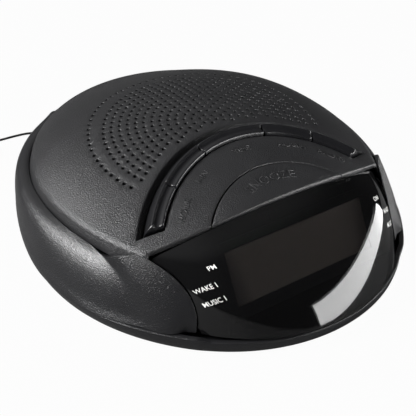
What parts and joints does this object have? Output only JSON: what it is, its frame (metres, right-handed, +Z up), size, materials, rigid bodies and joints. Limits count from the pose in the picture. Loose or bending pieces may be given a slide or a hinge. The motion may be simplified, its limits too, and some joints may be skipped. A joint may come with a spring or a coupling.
{
  "type": "clock radio",
  "caption": "Low round bedside clock radio with a domed speaker top, an arc of keys, a wide snooze key and a sloped dark display window",
  "frame": {"origin": "centre of the footprint on the surface the radio stands on, leaving out the aerial wire", "axes": "+Z up, the display faces -Y, +X to the right seen from the front"},
  "size_m": [0.1842, 0.234, 0.0579],
  "materials": {
    "case": "black plastic with a fine sparked texture",
    "key": "smooth semi-gloss black",
    "inner": "plain black",
    "lens": "polished smoked black",
    "filter": "dull brown filter",
    "display": "dark moulded display body",
    "rubber": "matt black rubber",
    "board": "green lacquered laminate",
    "steel": "bright plated steel",
    "copper": "varnished copper winding",
    "ferrite": "dark sintered ferrite",
    "cone": "black pressed paper",
    "part": "moulded component body",
    "wire": "black insulation",
    "battery": "plain dark sleeve"
  },
  "bodies": {
    "case": {"top_cover": "case", "key_carrier": "inner", "left_cheek": "case", "right_cheek": "case", "rear_panel": "case", "base_tray": "case", "case_screw_1": "steel", "case_screw_2": "steel", "case_screw_3": "steel", "case_screw_4": "steel", "foot_front_left": "rubber", "foot_front_right": "rubber", "foot_rear_left": "rubber", "foot_rear_right": "rubber", "front_lens": "lens", "display_bezel": "inner", "display_filter": "filter", "led_display": "display", "display_board": "board", "speaker_frame": "steel", "speaker_cone": "cone", "speaker_magnet": "ferrite", "speaker_dust_cap": "cone", "key_board": "board", "switch_hour": "part", "switch_minute": "part", "switch_time": "part", "switch_alarm": "part", "switch_radio": "part", "switch_snooze": "part", "main_board": "board", "clock_chip": "part", "tuner_can": "steel", "filter_capacitor": "part", "ferrite_rod": "ferrite", "transformer_core": "steel", "transformer_coil_left": "copper", "transformer_coil_right": "copper", "backup_battery": "battery", "battery_clip": "part", "mains_gland": "rubber", "aerial_grommet": "rubber", "aerial_wire": "wire", "aerial_coil": "wire"},
    "key_hour_body": {"key_hour": "key"},
    "key_minute_body": {"key_minute": "key"},
    "key_time_body": {"key_time": "key"},
    "key_alarm_body": {"key_alarm": "key"},
    "key_radio_body": {"key_radio": "key"},
    "snooze_body": {"snooze_key": "key"},
    "battery_door_body": {"battery_door": "case"}
  },
  "joints": [
    {"name": "press_hour", "type": "slide", "parent": "case", "child": "key_hour_body", "axis": [0, 0, -1], "range_m": [0, 0.0012], "stiffness_N_per_m": 900},
    {"name": "press_minute", "type": "slide", "parent": "case", "child": "key_minute_body", "axis": [0, 0, -1], "range_m": [0, 0.0012], "stiffness_N_per_m": 900},
    {"name": "press_time", "type": "slide", "parent": "case", "child": "key_time_body", "axis": [0, 0, -1], "range_m": [0, 0.0012], "stiffness_N_per_m": 900},
    {"name": "press_alarm", "type": "slide", "parent": "case", "child": "key_alarm_body", "axis": [0, 0, -1], "range_m": [0, 0.0012], "stiffness_N_per_m": 900},
    {"name": "press_radio", "type": "slide", "parent": "case", "child": "key_radio_body", "axis": [0, 0, -1], "range_m": [0, 0.0012], "stiffness_N_per_m": 900},
    {"name": "press_snooze", "type": "slide", "parent": "case", "child": "snooze_body", "axis": [0, 0, -1], "range_m": [0, 0.0012], "stiffness_N_per_m": 900},
    {"name": "battery_door_slide", "type": "slide", "parent": "case", "child": "battery_door_body", "axis": [0, 1, 0], "range_m": [0, 0.016]}
  ]
}
